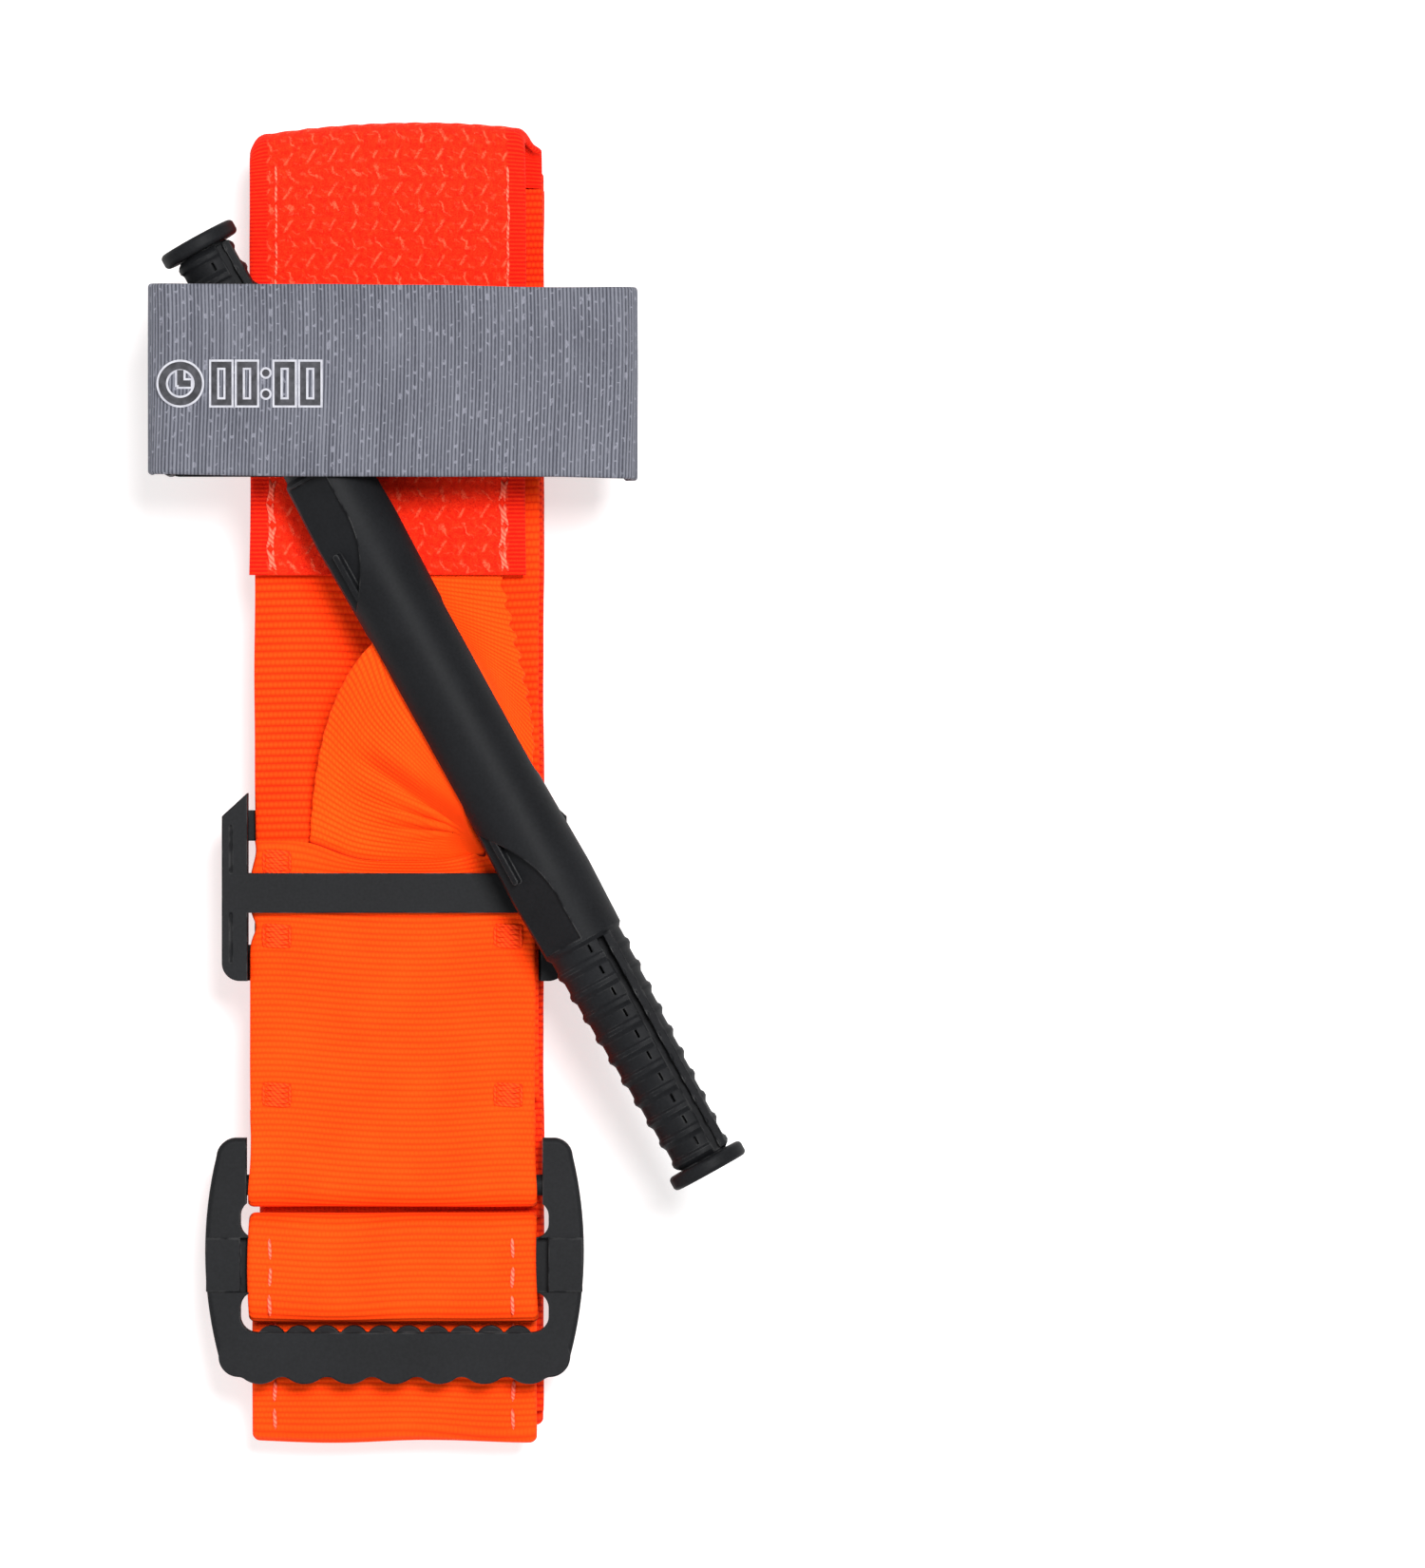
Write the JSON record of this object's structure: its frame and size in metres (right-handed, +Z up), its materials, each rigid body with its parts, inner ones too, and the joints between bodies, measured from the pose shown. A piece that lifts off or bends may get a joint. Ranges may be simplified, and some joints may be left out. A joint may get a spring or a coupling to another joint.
{
  "type": "windlass tourniquet",
  "caption": "Windlass tourniquet folded flat: webbing band with a turning rod, a clip, a time strap and a routing buckle.",
  "frame": {"origin": "on the underside of the folded band, on the band's centre line, half way along the folded band", "axes": "+Y along the band from the buckle end to the time strap end, +Z up through the stack of layers to the rod"},
  "size_m": [0.0793, 0.1768, 0.0315],
  "materials": {
    "black_plastic": "fine moulded grain, satin",
    "band_webbing": "ribbed grosgrain webbing, fluorescent orange",
    "pile_tape": "knitted loop pile, red-orange",
    "inner_webbing": "soft woven webbing, orange",
    "strap_webbing": "finely ribbed strap, grey",
    "hook_tape": "moulded hook tape, black",
    "thread": "sewing thread, pale red"
  },
  "bodies": {
    "band_and_plate": {"base_plate": "black_plastic", "clip_hook_pad_left": "hook_tape", "clip_hook_pad_right": "hook_tape", "inner_band_lower": "inner_webbing", "inner_band_upper": "inner_webbing", "band_top_fold": "pile_tape", "pile_tape_front": "pile_tape", "band_backing": "band_webbing", "band_rear_run": "band_webbing", "band_buckle_loop": "band_webbing", "sleeve_front": "band_webbing", "sleeve_hem": "band_webbing", "band_tail": "band_webbing", "free_end_inner_layers": "band_webbing", "free_end_hinge_fold": "band_webbing", "time_strap_anchor": "strap_webbing", "sleeve_bartacks": "thread", "pile_tape_seams": "thread", "tail_seams": "thread"},
    "time_strap_flap": {"time_strap": "strap_webbing", "time_strap_lining": "hook_tape"},
    "inner_band_loop": {"inner_band_lower_leg": "inner_webbing", "inner_band_upper_leg": "inner_webbing"},
    "windlass": {"windlass_rod": "black_plastic", "inner_band_slot_pass": "inner_webbing"},
    "buckle": {"routing_buckle": "black_plastic", "band_buckle_wrap": "band_webbing", "wrap_seams": "thread"},
    "free_end": {"free_end_outer_layers": "band_webbing", "free_end_tip": "pile_tape"}
  },
  "joints": [
    {"name": "time_strap_open", "type": "hinge", "parent": "band_and_plate", "child": "time_strap_flap", "pos_m": [0.03205, 0.0534, 0.0172], "axis": [0, 1, 0], "range_deg": [0, 150]},
    {"name": "windlass_lift", "type": "slide", "parent": "band_and_plate", "child": "inner_band_loop", "axis": [0, 0, 1], "range_m": [0, 0.015], "deforming": ["inner_band_lower_leg", "inner_band_upper_leg"]},
    {"name": "windlass_swing", "type": "hinge", "parent": "inner_band_loop", "child": "windlass", "pos_m": [0.008, 0.0104, 0.0243], "axis": [0, 0, 1], "range_deg": [-42, 0]},
    {"name": "buckle_tilt", "type": "hinge", "parent": "band_and_plate", "child": "buckle", "pos_m": [0, -0.0537, 0.0139], "axis": [-1, 0, 0], "range_deg": [0, 15]},
    {"name": "free_end_unfold", "type": "hinge", "parent": "band_and_plate", "child": "free_end", "pos_m": [0, -0.0861, 0.0043], "axis": [-1, 0, 0], "range_deg": [0, 170], "deforming": ["free_end_hinge_fold"]}
  ],
  "couplings": [
    {"joint": "time_strap_open", "follows": "windlass_lift", "rad_per_m": 174}
  ]
}
